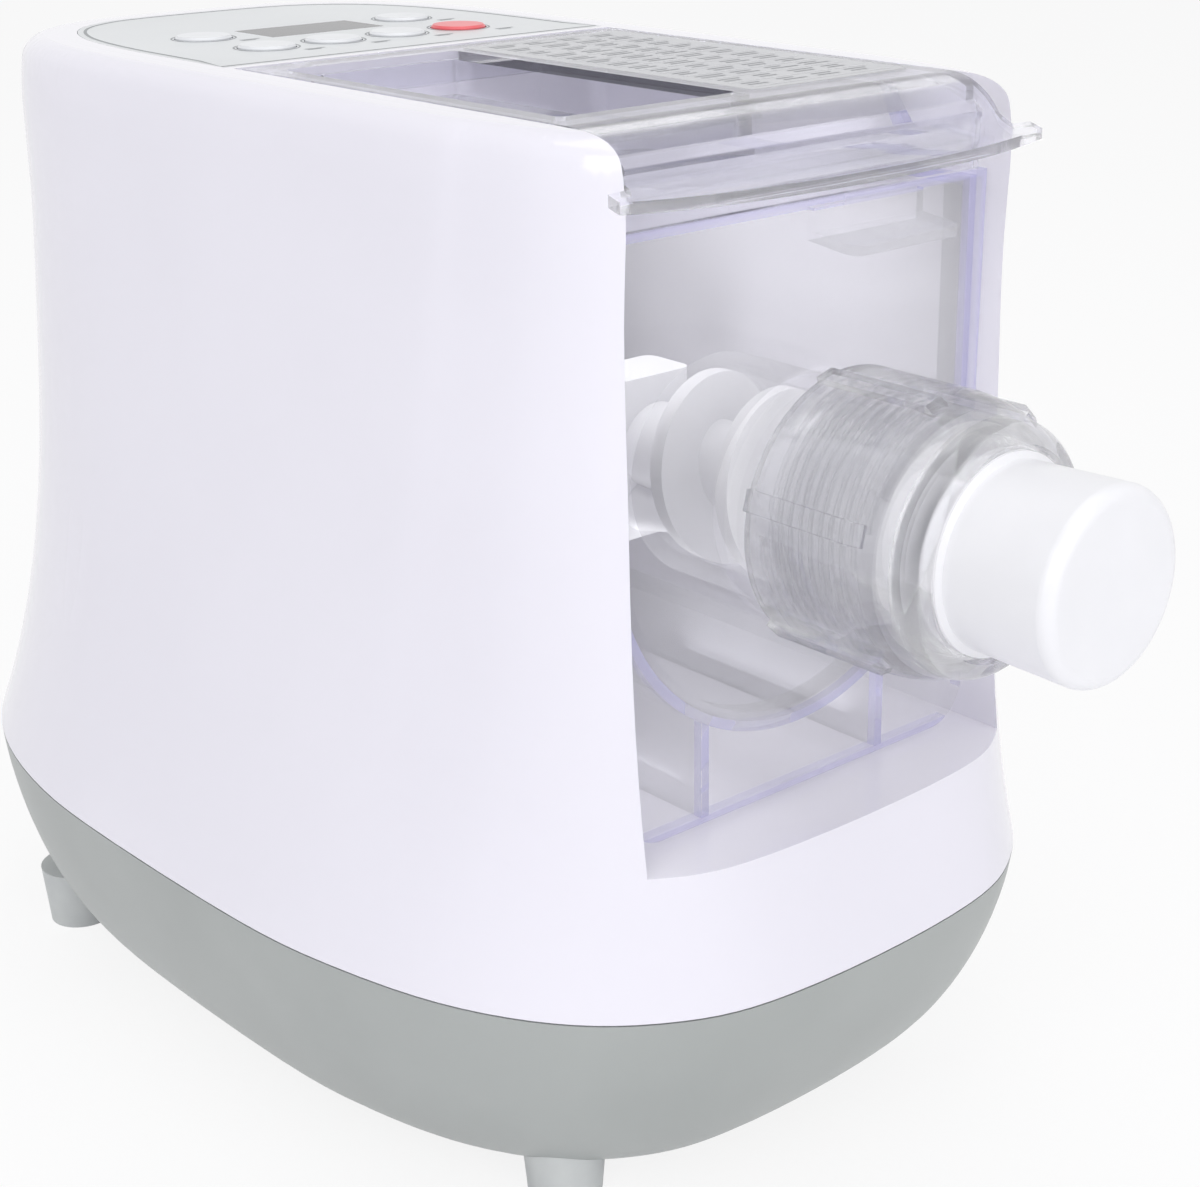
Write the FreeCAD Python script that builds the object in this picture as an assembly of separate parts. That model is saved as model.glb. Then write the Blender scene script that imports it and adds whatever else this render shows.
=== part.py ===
# Electric pasta maker: a moulded housing with an open bay, a clear mixing bowl that slides
# into the bay, a front plate with the extrusion tube, a screwed nozzle nut with its die and
# cap, a hinged clear lid, six keys, and the motor and gear train behind the bay.
# Millimetres, +Z up, the front of the machine faces -Y and X = 0 is the plane of symmetry.
# Every place below is given in a working frame: z = 0 at the table, y = 0 at the rear edge of
# the lid. The last step moves the finished pieces along Y, so that the origin is the centre
# of the whole machine's outline on the table.
import FreeCAD, Part
import math
import os

V = FreeCAD.Vector
os.makedirs("parts", exist_ok=True)

# housing outline: half widths, front and back, at the seam and at the top
SEAM_Z = 68.0
TOP_Z = 266.5
SEAM_HALF = 108.8
SEAM_FRONT = -165.5
SEAM_BACK = 165.2
TOP_HALF = 75.0
TOP_FRONT = -150.5
TOP_BACK = 134.0
WIDEST_Y = 19.5
SEAM_SQUARE_FRONT = 2.98
SEAM_SQUARE_BACK = 2.35
TOP_SQUARE_FRONT = 6.0
TOP_SQUARE_BACK = 3.35
OUTSIDE_RISES = (0.0, 7.0, 15.0, 25.0, 39.0, 59.0, 87.0)
INSIDE_RISES = (9.0, 19.0, 31.0, 52.0, 87.0)
UPPER_DROPS = (71.5, 31.5)
SIDE_LEAN = 0.39
SIDE_FLARE = 3.9
FRONT_LEAN = 0.27
FRONT_FLARE = 4.6
SHELL_WALL = 3.0
TOP_EDGE_ROUND = 7.0
SEAM_GAP = 0.4
SEAM_LIP_H = 5.0
SEAM_LIP_T = 2.0
SEAM_LIP_BACK = 3.2

# base tray
BASE_FLOOR_Z = 7.7
BASE_FLOOR_SHRINK = (28.3, 44.0, 10.0)
BASE_CURVE = 1.43
BASE_WALL = 3.0
FOOT_R = 11.0
FOOT_X = (57.0, 78.0)
FOOT_FRONT_Y = -111.0
FOOT_BACK_Y = 99.0
FOOT_TALL = 18.0
BOSS_R = 5.0
BASE_SCREW_R = 1.9
BASE_SCREW_X = 50.0
BASE_SCREW_BACK_X = 86.0
BASE_SCREW_FRONT_Y = -84.0
BASE_SCREW_BACK_Y = 62.0
BASE_SCREW_L = 12.0
SCREW_PILOT_R = 1.95
GLAND_R = 7.0
GLAND_BORE_R = 3.6
GLAND_FLANGE_T = 1.6
GLAND_TAIL = 18.0
GLAND_Y = 163.5
GLAND_Z = 30.0
VENT_COUNT = 9
VENT_STEP = 9.0
VENT_W = 4.5
VENT_L = 46.0
VENT_Y = 52.0
POWER_Z = 22.0
POWER_W = 84.0
POWER_D = 62.0
POWER_Y0 = -92.0

# bay in the housing and the drive axis that runs along Y through it
AXIS_Z = 177.0
BAY_SIDE_GAP = 1.5
BAY_UNDER_BOWL = 16.0
BAY_BACK_Y = 2.8
BAY_WALL = 2.6

# mixing bowl
BOWL_R = 59.0
BOWL_WALL = 2.5
BOWL_RIM_DROP = 23.5
BOWL_BACK_GAP = 1.0
BOWL_FRONT_Y = -133.6
BOWL_RUNNER_X = 30.0
BOWL_RUNNER_T = 2.5
BOWL_HOLE_R = 11.5
FIT = 0.3

# front plate, extrusion tube, nozzle
PLATE_T = 3.2
PLATE_SIDE_GAP = 1.6
PLATE_TAPER = 1.5
PLATE_FLOOR_GAP = 1.0
PLATE_TOP_DROP = 21.5
PLATE_CORNER_R = 11.0
PLATE_SPIGOT = 6.0
TUBE_R = 27.6
TUBE_WALL = 4.4
TUBE_L = 45.0
TUBE_INSIDE_L = 28.0
GUSSET_H = 34.0
GUSSET_D = 12.0
GUSSET_T = 2.2
TAB_HALF = 18.0
TAB_X = 16.0
TAB_DROP = 8.5
TAB_T = 2.2
TAB_SLOPE = 7.0
TAB_D = 14.5
TAB_RIB_H = 7.5
NUT_R = 32.6
NUT_REAR_GAP = 11.0
NUT_L = 48.0
NUT_RIM_R = 29.3
NUT_MOUTH_R = 23.2
NUT_FIT = 0.6
NUT_RIB_H = 1.6
NUT_RIB_W = 5.0
NUT_RIB_COUNT = 6
NUT_RIB_ANGLE = 15.0
DIE_T = 5.0
DIE_R = 26.6
DIE_SLOT_R = 1.6
CAP_R = 21.4
CAP_END_R = 22.2
CAP_L = 33.8
CAP_WALL = 2.0
CAP_PLUG = 5.0
CAP_EDGE = 3.2

# auger with its kneading arms
AUGER_CORE_R = 11.0
AUGER_FLIGHT_R = 22.6
AUGER_FLIGHT_T = 4.0
AUGER_PITCH = 22.0
FLIGHT_BACK_Y = -98.0
HUB_R = 16.0
HUB_L = 72.0
PADDLE_HALF = 12.0
PADDLE_UP = 18.0
PADDLE_DOWN = 23.0
PADDLE_FRONT_Y = -84.0
PADDLE_BACK_Y = -68.0
FINGER_X = -4.0
FINGER_DROP = 15.0
FINGER_ROOT_R = 6.5
FINGER_TIP_R = 3.6
FINGER_L = 14.0
ARM_WALL_GAP = 6.5
ARM_TIP_R = 5.5
ARM_COUNT = 3
ARM_ROOT_R = 8.0
ARM_FIRST = 15.0
ARM_STEP = 19.0
SOCKET_L = 12.0
SOCKET_AF = 11.0

# lid
LID_GAP = 0.7
LID_T = 2.6
LID_FLAT_FRONT_Y = -122.0
LID_LIP_Y = -154.0
LID_LIP_DROP = 12.5
LID_WING_W = 6.2
LID_LIP_BOW = 7.0
LID_WING_D = 3.6
LID_SKIRT = 9.0
WELL_DEPTH = 11.0
WELL_HALF_X = 26.0
WELL_X = -27.0
WELL_BACK_Y = -8.0
WELL_FRONT_Y = -113.0
WELL_WALL = 2.0
WELL_HOLE_R = 3.0
LABEL_X = 30.5
LABEL_HALF = 26.5
LABEL_T = 0.5
LID_PIN_R = 2.5
LID_PIN_L = 3.0
LID_PIN_FIT = 0.08
MAGNET_R = 3.0
MAGNET_T = 3.0

# control panel and its keys
PANEL_T = 0.8
PANEL_INSET = 14.0
PANEL_GAP = 0.15
PANEL_FRONT_Y = 6.0
KEY_R = 7.6
KEY_GAP = 0.35
KEY_H = 5.0
KEY_PROUD = 0.9
KEY_TRAVEL = 1.0
KEY_ROW_Y = 33.0
KEY_ROW_STEP = 21.0
KEY_SIDE_X = 33.0
KEY_SIDE_Y = 62.0
DISPLAY_W = 37.0
DISPLAY_D = 20.0
DISPLAY_Y = 60.0
BOARD_T = 1.6
BOARD_W = 96.0
BOARD_D = 66.0
BOARD_DROP = 12.0
BOARD_Y0 = 14.0

# gear train and motor
MODULE = 1.5
OUT_TEETH = 46
SMALL_TEETH = 14
BIG_TEETH = 44
PINION_TEETH = 12
GEAR_W = 9.0
GEAR_WINDOW_R = 6.0
GEAR_WINDOW_RING = 20.0
BACKLASH = 0.35
SHAFT_R = 6.0
IDLER_R = 4.0
ROTOR_SHAFT_R = 3.0
RUNNING = 0.06
GEARBOX_Y = 15.0
PLATE_STEEL_T = 3.0
STATOR_R = 40.0
STATOR_L = 36.0
STATOR_GAP = 11.0
GEAR_PLATE_HALF = 46.0
GEAR_PLATE_UNDER = 25.0
GEAR_PLATE_OVER = 44.0
GEAR_BOLT_UP = 17.0
SCREW_GRIP = 7.0
SPACER_R = 4.0
GEAR_GAP = 3.0
COLLAR_R = 10.9
ARM_ANGLE = 12.0
WELL_HOLES_Y = (-30.0, -90.0)
MAGNET_X = -45.0
MAGNET_Y = -5.5


def outline_point(angle, z, inset=0.0):
    """Point of the housing's outline at a height, by a squared ellipse.
    inset is one distance inward, or three: for the sides, the front and the back."""
    side_in, front_in, back_in = inset if isinstance(inset, tuple) else (inset, inset, inset)
    t = max(0.0, (TOP_Z - z) / (TOP_Z - SEAM_Z))
    side = SIDE_LEAN * t + (1 - SIDE_LEAN) * t ** SIDE_FLARE
    ends = FRONT_LEAN * t + (1 - FRONT_LEAN) * t ** FRONT_FLARE
    half = TOP_HALF + (SEAM_HALF - TOP_HALF) * side - side_in
    front = TOP_FRONT + (SEAM_FRONT - TOP_FRONT) * ends + front_in
    back = TOP_BACK + (SEAM_BACK - TOP_BACK) * side - back_in
    c = math.cos(angle)
    s = math.sin(angle)
    if s >= 0:
        square = TOP_SQUARE_BACK + (SEAM_SQUARE_BACK - TOP_SQUARE_BACK) * t
        reach = back - WIDEST_Y
    else:
        square = TOP_SQUARE_FRONT + (SEAM_SQUARE_FRONT - TOP_SQUARE_FRONT) * t
        reach = WIDEST_Y - front
    x = half * math.copysign(abs(c) ** (2.0 / square), c)
    y = WIDEST_Y + reach * math.copysign(abs(s) ** (2.0 / square), s)
    return V(x, y, z)


def closed_spline(points):
    """Smooth closed wire through points, with evenly spaced knots."""
    curve = Part.BSplineCurve()
    knots = [float(i) for i in range(len(points) + 1)]
    curve.interpolate(Points=points, PeriodicFlag=True, Parameters=knots)
    return Part.Wire([curve.toShape()])


def outline_wire(z, inset=0.0, at_z=None, count=32):
    points = []
    for i in range(count):
        p = outline_point(2 * math.pi * i / count, z, inset)
        if at_z is not None:
            p.z = at_z
        points.append(p)
    return closed_spline(points)


def loft(wires):
    return Part.makeLoft(wires, True, False)


def box(x0, x1, y0, y1, z0, z1):
    return Part.makeBox(x1 - x0, y1 - y0, z1 - z0, V(x0, y0, z0))


def rod_y(r, y0, y1, x=0.0, z=AXIS_Z):
    """Round bar along Y from y0 to y1, with y0 below y1."""
    return Part.makeCylinder(r, y1 - y0, V(x, y0, z), V(0, 1, 0))


def rod_z(r, z0, z1, x, y):
    return Part.makeCylinder(r, z1 - z0, V(x, y, z0), V(0, 0, 1))


def rod_x(r, x0, x1, y, z):
    return Part.makeCylinder(r, x1 - x0, V(x0, y, z), V(1, 0, 0))


def turned_y(profile, z=AXIS_Z):
    """Solid of revolution about the drive axis, from (radius, y) corners."""
    points = [V(r, y, z) for r, y in profile]
    points.append(points[0])
    face = Part.Face(Part.makePolygon(points))
    return face.revolve(V(0, 0, z), V(0, 1, 0), 360)


def prism_x(profile, x0, x1):
    """Solid along X from a (y, z) outline."""
    points = [V(x0, y, z) for y, z in profile]
    points.append(points[0])
    face = Part.Face(Part.makePolygon(points))
    return face.extrude(V(x1 - x0, 0, 0))


def rounded_plate(x0, x1, y0, y1, z0, z1, r):
    """Plate with its vertical corners rounded."""
    body = box(x0, x1, y0, y1, z0, z1)
    edges = [e for e in body.Edges if abs(e.Vertexes[0].X - e.Vertexes[1].X) < 1e-6
             and abs(e.Vertexes[0].Y - e.Vertexes[1].Y) < 1e-6]
    return body.makeFillet(r, edges)


# derived places
BAY_HALF = BOWL_R + BAY_SIDE_GAP
BAY_FLOOR_Z = AXIS_Z - BOWL_R - BAY_UNDER_BOWL
BOWL_RIM_Z = TOP_Z - BOWL_RIM_DROP
PLATE_TOP_Z = TOP_Z - PLATE_TOP_DROP
PLATE_BOTTOM_Z = BAY_FLOOR_Z + PLATE_FLOOR_GAP
PLATE_HALF = BAY_HALF - PLATE_SIDE_GAP
PLATE_FOOT_HALF = PLATE_HALF - PLATE_TAPER
TAB_Z = PLATE_TOP_Z - TAB_DROP
LID_LIP_Z = TOP_Z - LID_LIP_DROP
ARM_R = BOWL_R - BOWL_WALL - ARM_WALL_GAP
PLATE_FACE_Y = BOWL_FRONT_Y - PLATE_T
TUBE_END_Y = PLATE_FACE_Y - TUBE_L
NUT_REAR_Y = PLATE_FACE_Y - NUT_REAR_GAP
NUT_FRONT_Y = NUT_REAR_Y - NUT_L
DIE_BACK_Y = TUBE_END_Y - FIT
DIE_FRONT_Y = DIE_BACK_Y - DIE_T
CAP_BACK_Y = NUT_FRONT_Y + CAP_PLUG
CAP_END_Y = CAP_BACK_Y - CAP_L
Y_CENTRE = (CAP_END_Y + SEAM_BACK) / 2.0
LID_HALF = BAY_HALF - LID_GAP
LID_LIP_HALF = LID_HALF + LID_WING_W
LID_FAR = LID_LIP_HALF + 14.0
LID_PIN_Y = -LID_PIN_R - 1.0
LID_PIN_Z = TOP_Z - 4.5
BOARD_TOP_Z = TOP_Z - BOARD_DROP
GEAR1_Y = GEARBOX_Y + PLATE_STEEL_T + GEAR_GAP
GEAR2_Y = GEAR1_Y + GEAR_W + GEAR_GAP
REAR_PLATE_Y = GEAR2_Y + GEAR_W + GEAR_GAP
MOTOR_FRONT_Y = REAR_PLATE_Y + PLATE_STEEL_T
STATOR_Y = MOTOR_FRONT_Y + STATOR_GAP
MOTOR_BACK_Y = STATOR_Y + STATOR_L + STATOR_GAP
IDLER_Z = AXIS_Z - MODULE * (OUT_TEETH + SMALL_TEETH) / 2.0
MOTOR_Z = IDLER_Z - MODULE * (BIG_TEETH + PINION_TEETH) / 2.0
GEAR_PLATE_HIGH = AXIS_Z + GEAR_PLATE_OVER
GEAR_PLATE_LOW = MOTOR_Z - GEAR_PLATE_UNDER
GEAR_BOLT_LOW_Z = BAY_FLOOR_Z + GEAR_BOLT_UP


def write(node, shape):
    shape = shape.copy()
    shape.translate(V(0, -Y_CENTRE, 0))
    shape.exportStep("parts/" + node + ".step")


def crown_levels():
    """Heights and insets of the quarter round along the housing's top edge."""
    steps = [0.0, 24.0, 45.0, 63.0, 78.0]
    rows = []
    for step in steps:
        a = math.radians(step)
        rows.append((TOP_Z - TOP_EDGE_ROUND * (1 - math.sin(a)), TOP_EDGE_ROUND * (1 - math.cos(a))))
    return rows


def housing_outer():
    wires = [outline_wire(SEAM_Z + rise) for rise in OUTSIDE_RISES]
    wires += [outline_wire(TOP_Z - drop) for drop in UPPER_DROPS]
    wires += [outline_wire(z, inset) for z, inset in crown_levels()]
    body = loft(wires)
    low, inset = crown_levels()[-1]
    cap = loft([outline_wire(low, inset), outline_wire(TOP_Z, TOP_EDGE_ROUND * 1.3)])
    return body.fuse(cap)


def housing_inner():
    wires = [outline_wire(SEAM_Z, SHELL_WALL, at_z=SEAM_Z - SHELL_WALL)]
    wires += [outline_wire(SEAM_Z + rise, SHELL_WALL) for rise in INSIDE_RISES]
    wires += [outline_wire(TOP_Z - drop, SHELL_WALL) for drop in UPPER_DROPS]
    wires.append(outline_wire(TOP_Z, SHELL_WALL + 1.0, at_z=TOP_Z - SHELL_WALL - 3.0))
    wires.append(outline_wire(TOP_Z, SHELL_WALL + 5.0, at_z=TOP_Z - SHELL_WALL))
    return loft(wires)


def bay_box(grow):
    """Open space for the bowl, cut out past the front and the top."""
    return box(-BAY_HALF - grow, BAY_HALF + grow, SEAM_FRONT - BOWL_R, BAY_BACK_Y + grow,
               BAY_FLOOR_Z - grow, TOP_Z + BOWL_R)


def panel_slab(inset, z0, z1):
    """Flat D-shaped area on the top, behind the lid."""
    slab = Part.Face(outline_wire(TOP_Z, PANEL_INSET + inset, at_z=z0)).extrude(V(0, 0, z1 - z0))
    return slab.common(box(-TOP_HALF, TOP_HALF, PANEL_FRONT_Y + inset, SEAM_BACK, z0 - 1, z1 + 1))


def key_places():
    """Four keys in the front row and one at each side of the display."""
    places = [(KEY_ROW_STEP * (i - 1.5), KEY_ROW_Y) for i in range(4)]
    places.append((-KEY_SIDE_X, KEY_SIDE_Y))
    places.append((KEY_SIDE_X, KEY_SIDE_Y))
    return places


def gear_mounts():
    """Bolt places of the gear plates as (x, z)."""
    return [(sx * GEAR_PLATE_HALF * 0.8, z) for sx in (-1, 1) for z in (GEAR_BOLT_LOW_Z, GEAR_PLATE_HIGH - 9)]


def main_housing():
    outer = housing_outer()
    hollow = housing_inner().cut(bay_box(BAY_WALL))
    shell = outer.cut(hollow)
    adds = []
    for sx in (-1, 1):
        adds.append(rod_z(BOSS_R, SEAM_Z + 3, BAY_FLOOR_Z - 1, sx * BASE_SCREW_X, BASE_SCREW_FRONT_Y))
        rear_boss = rod_z(BOSS_R, SEAM_Z + 3, SEAM_Z + 75, sx * BASE_SCREW_BACK_X, BASE_SCREW_BACK_Y)
        adds.append(rear_boss.common(outer))
    for x, z in gear_mounts():
        adds.append(rod_y(BOSS_R, BAY_BACK_Y + 1, GEARBOX_Y, x, z))
    for x, y in board_posts():
        adds.append(rod_z(2.5, BOARD_TOP_Z, TOP_Z - 1.5, x, y))
    shell = shell.fuse(adds)
    tools = [bay_box(0.0)]
    for x, z in gear_mounts():
        tools.append(rod_y(2.0, GEARBOX_Y - SCREW_GRIP, GEARBOX_Y + 1, x, z))
    for sx in (-1, 1):
        tools.append(rod_z(SCREW_PILOT_R, SEAM_Z, SEAM_Z + 20, sx * BASE_SCREW_X, BASE_SCREW_FRONT_Y))
        tools.append(rod_z(SCREW_PILOT_R, SEAM_Z, SEAM_Z + 20, sx * BASE_SCREW_BACK_X, BASE_SCREW_BACK_Y))
    tools.append(rod_x(LID_PIN_R + LID_PIN_FIT, -BAY_HALF - BAY_WALL - 1, BAY_HALF + BAY_WALL + 1,
                       LID_PIN_Y, LID_PIN_Z))
    tools.append(rod_y(COLLAR_R + 1.0, BAY_BACK_Y - 1, BAY_BACK_Y + BAY_WALL + 1))
    tools.append(panel_slab(-PANEL_GAP, TOP_Z - PANEL_T - 0.05, TOP_Z + 5))
    for x, y in key_places():
        tools.append(rod_z(KEY_R + KEY_GAP, TOP_Z - 10, TOP_Z + 1, x, y))
    tools.append(box(-DISPLAY_W / 2, DISPLAY_W / 2, DISPLAY_Y - DISPLAY_D / 2,
                     DISPLAY_Y + DISPLAY_D / 2, TOP_Z - 10, TOP_Z + 1))
    return shell.cut(tools)


def base_levels(inset):
    """Bowl-like outside of the base: (height, inset) rows from the seam to the floor."""
    depth = SEAM_Z - SEAM_GAP - BASE_FLOOR_Z
    rows = []
    for step in (0.0, 20.0, 38.0, 54.0, 68.0, 80.0):
        a = math.radians(step)
        z = SEAM_Z - SEAM_GAP - depth * math.sin(a) ** BASE_CURVE
        rows.append((z, tuple(inset + shrink * (1 - math.cos(a)) for shrink in BASE_FLOOR_SHRINK)))
    rows.append((BASE_FLOOR_Z, tuple(inset + shrink for shrink in BASE_FLOOR_SHRINK)))
    return rows


def base_outer():
    return loft([outline_wire(SEAM_Z, inset, at_z=z) for z, inset in base_levels(0.0)])


def ring_band(inset_out, inset_in, z0, z1):
    """Upright band that follows the seam, between two insets."""
    band = Part.Face(outline_wire(SEAM_Z, inset_out, at_z=z0)).extrude(V(0, 0, z1 - z0))
    return band.cut(Part.Face(outline_wire(SEAM_Z, inset_in, at_z=z0)).extrude(V(0, 0, z1 - z0)))


def base_screw_places():
    front = [(sx * BASE_SCREW_X, BASE_SCREW_FRONT_Y) for sx in (-1, 1)]
    return front + [(sx * BASE_SCREW_BACK_X, BASE_SCREW_BACK_Y) for sx in (-1, 1)]


def base_tray():
    outer = base_outer()
    rows = base_levels(BASE_WALL)[:-1]
    inner = loft([outline_wire(SEAM_Z, inset, at_z=z + (1.0 if i == 0 else 0.0))
                  for i, (z, inset) in enumerate(rows)])
    inner = inner.common(box(-200, 200, -300, 300, BASE_FLOOR_Z + BASE_WALL, SEAM_Z + 10))
    tray = outer.cut(inner)
    lip_inset = SHELL_WALL + SEAM_LIP_BACK
    root = ring_band(BASE_WALL - 0.5, lip_inset + SEAM_LIP_T, SEAM_Z - 6, SEAM_Z - SEAM_GAP)
    lip = ring_band(lip_inset, lip_inset + SEAM_LIP_T, SEAM_Z - 6, SEAM_Z + SEAM_LIP_H)
    adds = [lip, root.common(outer)]
    for x, y in base_screw_places():
        adds.append(rod_z(BOSS_R, BASE_FLOOR_Z, SEAM_Z + 3 - FIT, x, y).common(
            outer.fuse(box(x - 9, x + 9, y - 9, y + 9, SEAM_Z - SEAM_GAP, SEAM_Z + 3))))
    for x, y in power_posts():
        adds.append(rod_z(3.0, BASE_FLOOR_Z + 1, POWER_Z, x, y))
    adds.append(rod_y(GLAND_R + 4, GLAND_Y - 16, GLAND_Y, 0, GLAND_Z))
    tray = tray.fuse(adds)
    tools = []
    for x, y in base_screw_places():
        tools.append(rod_z(BASE_SCREW_R + 0.3, 0, SEAM_Z + 5, x, y))
        tools.append(rod_z(BASE_SCREW_R * 2 + 0.3, 0, SEAM_Z - 16, x, y))
    tools.append(rod_y(GLAND_R, GLAND_Y - 17, GLAND_Y + 1, 0, GLAND_Z))
    for i in range(VENT_COUNT):
        x = (i - (VENT_COUNT - 1) / 2.0) * VENT_STEP
        tools.append(rounded_plate(x - VENT_W / 2, x + VENT_W / 2, VENT_Y - VENT_L / 2,
                                   VENT_Y + VENT_L / 2, BASE_FLOOR_Z - 1, BASE_FLOOR_Z + BASE_WALL + 1,
                                   VENT_W / 2 - 0.01))
    return tray.cut(tools)


def rubber_feet():
    outer = base_outer()
    feet = []
    for sx in (-1, 1):
        for x, y in ((sx * FOOT_X[0], FOOT_FRONT_Y), (sx * FOOT_X[1], FOOT_BACK_Y)):
            foot = Part.makeCone(FOOT_R - 1.5, FOOT_R, FOOT_TALL, V(x, y, 0), V(0, 0, 1))
            feet.append(foot.cut(outer))
    return Part.makeCompound(feet)


def base_screws():
    screws = []
    for x, y in base_screw_places():
        head = rod_z(BASE_SCREW_R * 2, SEAM_Z - 18.5, SEAM_Z - 16, x, y)
        shank = rod_z(BASE_SCREW_R, SEAM_Z - 16, SEAM_Z - 16 + BASE_SCREW_L + 16, x, y)
        screws.append(head.fuse(shank))
    return Part.makeCompound(screws)


def cord_gland():
    rear = GLAND_Y + GLAND_FLANGE_T
    body = rod_y(GLAND_R - 0.1, GLAND_Y - GLAND_TAIL, rear, 0, GLAND_Z)
    flange = rod_y(GLAND_R + 3, GLAND_Y, rear, 0, GLAND_Z)
    return body.fuse(flange).cut(rod_y(GLAND_BORE_R, GLAND_Y - GLAND_TAIL - 1, rear + 1, 0, GLAND_Z))


def u_section(half, bottom_r, top_z, y0, y1):
    """U-shaped bar along Y: half round below the drive axis, straight sides above it."""
    low = rod_y(bottom_r, y0, y1)
    return low.common(box(-half, half, y0, y1, 0, AXIS_Z)).fuse(
        box(-half, half, y0, y1, AXIS_Z, top_z)).removeSplitter()


def mixing_bowl():
    back = BAY_BACK_Y - BOWL_BACK_GAP
    bowl = u_section(BOWL_R, BOWL_R, BOWL_RIM_Z, BOWL_FRONT_Y, back)
    inner_r = BOWL_R - BOWL_WALL
    runners = []
    for sx in (-1, 1):
        x = sx * BOWL_RUNNER_X
        runners.append(box(x - BOWL_RUNNER_T / 2, x + BOWL_RUNNER_T / 2, BOWL_FRONT_Y, back - 8,
                           BAY_FLOOR_Z + FIT, AXIS_Z - BOWL_R + 14))
    bowl = bowl.fuse(runners)
    hollow = u_section(inner_r, inner_r, BOWL_RIM_Z + 1, BOWL_FRONT_Y - 1, back - BOWL_WALL)
    hole = rod_y(BOWL_HOLE_R, back - BOWL_WALL - 1, back + 1)
    return bowl.cut([hollow, hole])


def front_plate():
    outline = [V(sx * half, PLATE_FACE_Y, z) for sx, half, z in (
        (-1, PLATE_FOOT_HALF, PLATE_BOTTOM_Z), (1, PLATE_FOOT_HALF, PLATE_BOTTOM_Z),
        (1, PLATE_HALF, PLATE_TOP_Z), (-1, PLATE_HALF, PLATE_TOP_Z))]
    blank = Part.Face(Part.makePolygon(outline + outline[:1])).extrude(V(0, PLATE_T, 0))
    corners = [e for e in blank.Edges if abs(e.Length - PLATE_T) < 1e-6
               and e.Vertexes[0].Z < PLATE_BOTTOM_Z + 1]
    plate = blank.makeFillet(PLATE_CORNER_R, corners)
    grow = BOWL_WALL + FIT
    spigot = u_section(BOWL_R - grow, BOWL_R - grow, BOWL_RIM_Z, BOWL_FRONT_Y - 0.5,
                       BOWL_FRONT_Y + PLATE_SPIGOT)
    core = u_section(BOWL_R - grow - 2, BOWL_R - grow - 2, BOWL_RIM_Z + 1, BOWL_FRONT_Y,
                     BOWL_FRONT_Y + PLATE_SPIGOT + 1)
    inside_end = BOWL_FRONT_Y + TUBE_INSIDE_L
    tube = rod_y(TUBE_R, TUBE_END_Y, inside_end)
    collar = turned_y([(TUBE_R - 1, PLATE_FACE_Y), (TUBE_R + 2.4, PLATE_FACE_Y),
                       (TUBE_R + 2.4, PLATE_FACE_Y - 3), (TUBE_R - 1, PLATE_FACE_Y - 5)])
    adds = [spigot.cut(core), tube, collar]
    for sx in (-1, 1):
        x = sx * (PLATE_FOOT_HALF - 2.5)
        low = PLATE_BOTTOM_Z + PLATE_CORNER_R
        gusset = prism_x([(BOWL_FRONT_Y - 1, low), (BOWL_FRONT_Y + GUSSET_D, low),
                          (BOWL_FRONT_Y - 1, low + GUSSET_H)], x - GUSSET_T / 2, x + GUSSET_T / 2)
        adds.append(gusset)
    tab = rounded_plate(TAB_X - TAB_HALF, TAB_X + TAB_HALF, PLATE_FACE_Y - TAB_D, PLATE_FACE_Y + 4,
                        TAB_Z, TAB_Z + TAB_T, 3.5)
    back_rib = box(TAB_X - TAB_HALF, TAB_X + TAB_HALF, PLATE_FACE_Y - 2, PLATE_FACE_Y + 0.5,
                   TAB_Z, TAB_Z + TAB_RIB_H)
    tab = tab.common(box(-BAY_HALF, BAY_HALF, NUT_FRONT_Y, PLATE_FACE_Y + 1, 0, TOP_Z))
    tab.rotate(V(0, PLATE_FACE_Y, TAB_Z), V(1, 0, 0), TAB_SLOPE)
    adds += [tab, back_rib]
    plate = plate.fuse(adds)
    return plate.cut(rod_y(TUBE_R - TUBE_WALL, TUBE_END_Y - 1, inside_end + 1))


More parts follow.
